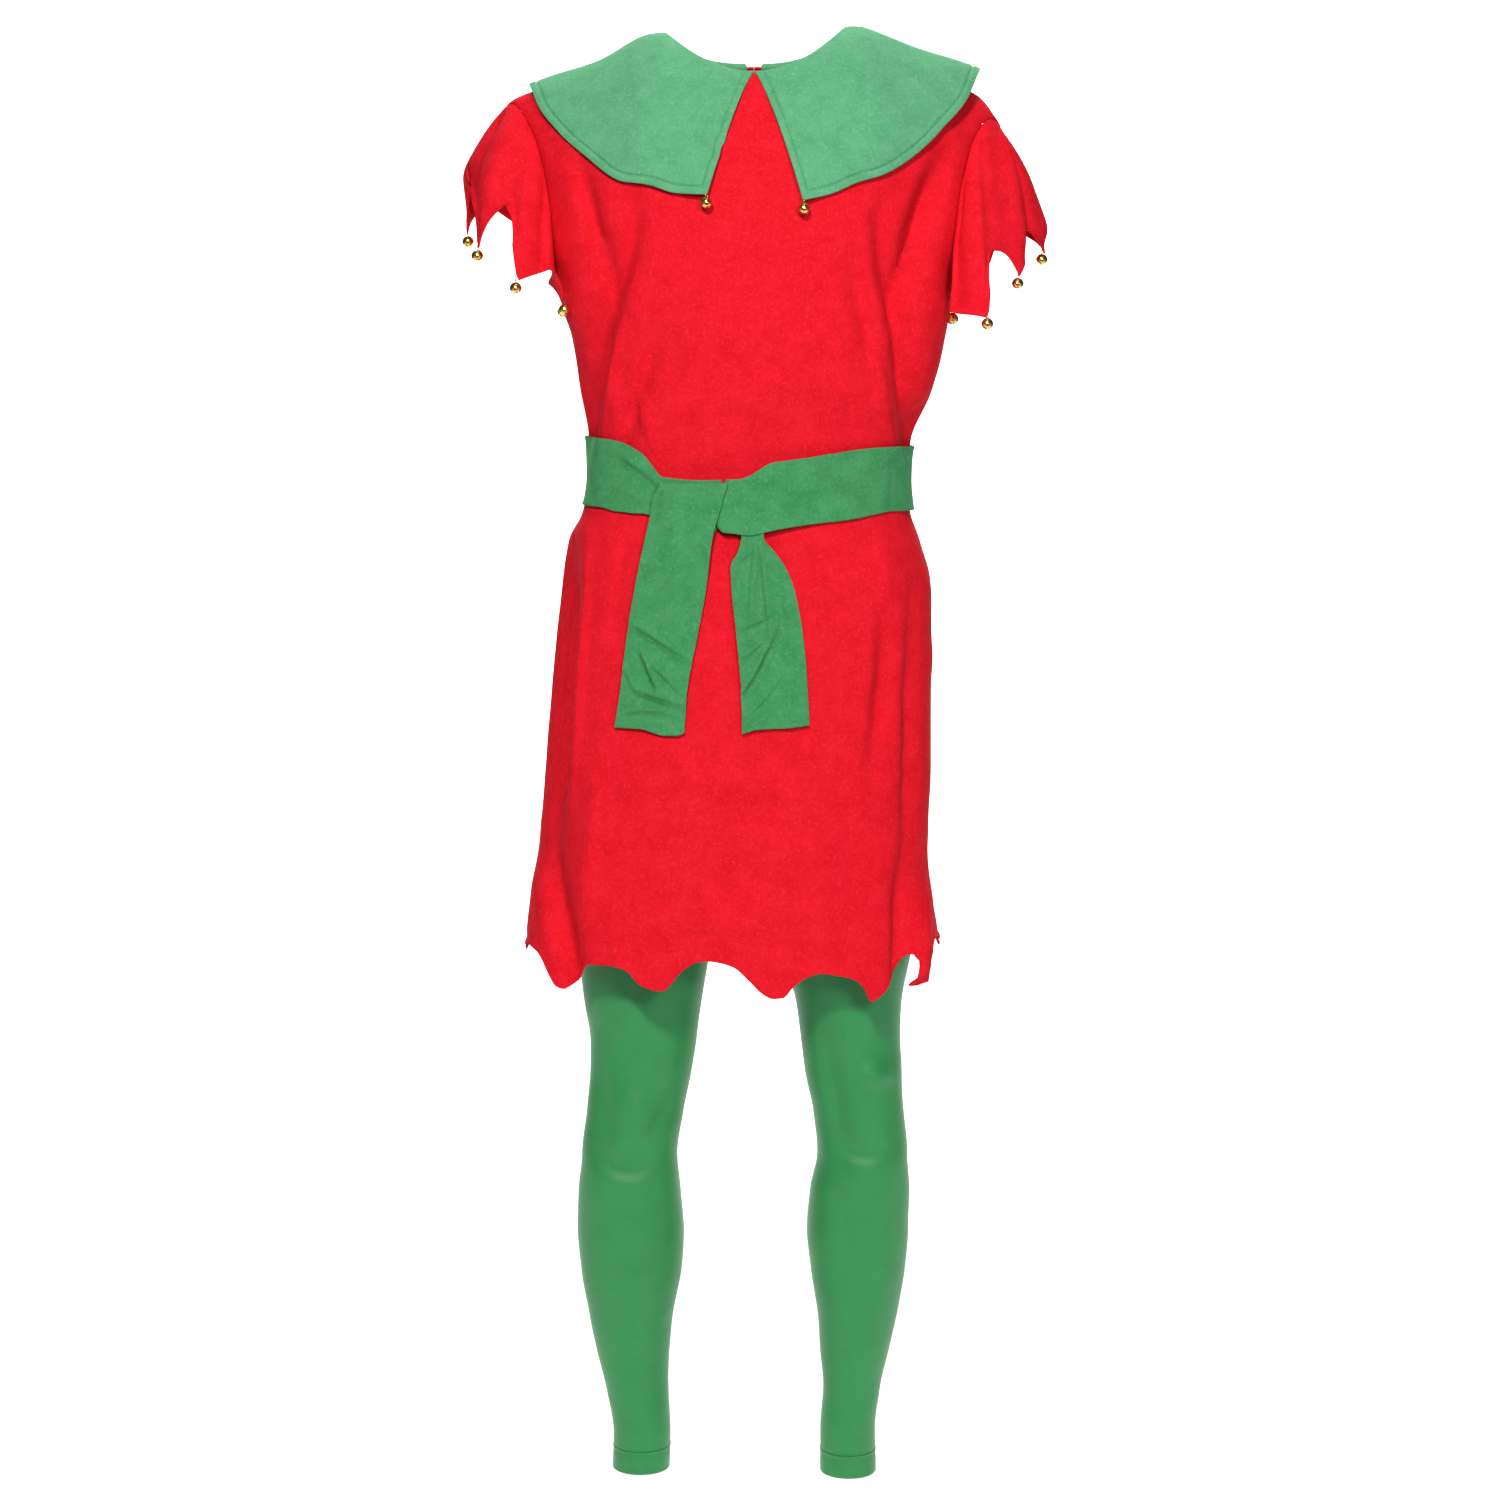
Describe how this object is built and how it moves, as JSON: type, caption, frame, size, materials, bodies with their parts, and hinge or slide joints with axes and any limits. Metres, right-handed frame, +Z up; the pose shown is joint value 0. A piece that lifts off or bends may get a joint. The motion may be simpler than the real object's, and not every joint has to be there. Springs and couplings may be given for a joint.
{
  "type": "elf costume",
  "caption": "Worn elf costume held hollow: a red tunic with a pointed hem, a green cape collar with bells, a tied sash and leggings.",
  "frame": {"origin": "between the wearer's shoulders, where they carry the tunic at the neck ends of the shoulder seams", "axes": "+Z up, -Y the front of the costume, +X towards the wearer's left"},
  "size_m": [0.5887, 0.2608, 1.4526],
  "materials": {
    "red_fleece": "brushed fleece, matt with a soft nap",
    "green_fleece": "brushed felted fleece, matt",
    "green_jersey": "fine stretch jersey with a faint sheen",
    "gold_bell": "polished gold plating"
  },
  "bodies": {
    "root": {"tunic_front": "red_fleece", "tunic_back_right": "red_fleece", "tunic_back_left": "red_fleece", "sleeve_right": "red_fleece", "sleeve_left": "red_fleece", "collar_right": "green_fleece", "collar_left": "green_fleece", "sash_band": "green_fleece", "sash_knot": "green_fleece", "sash_tail_right": "green_fleece", "sash_tail_left": "green_fleece", "legging_right": "green_jersey", "legging_left": "green_jersey", "legging_hem_right": "green_jersey", "legging_hem_left": "green_jersey", "legging_waistband": "green_jersey", "bell_collar_right": "gold_bell", "bell_collar_left": "gold_bell", "bell_sleeve_right_1": "gold_bell", "bell_sleeve_right_2": "gold_bell", "bell_sleeve_right_3": "gold_bell", "bell_sleeve_right_4": "gold_bell", "bell_sleeve_right_5": "gold_bell", "bell_sleeve_right_6": "gold_bell", "bell_sleeve_left_1": "gold_bell", "bell_sleeve_left_2": "gold_bell", "bell_sleeve_left_3": "gold_bell", "bell_sleeve_left_4": "gold_bell", "bell_sleeve_left_5": "gold_bell", "bell_sleeve_left_6": "gold_bell"}
  },
  "joints": []
}
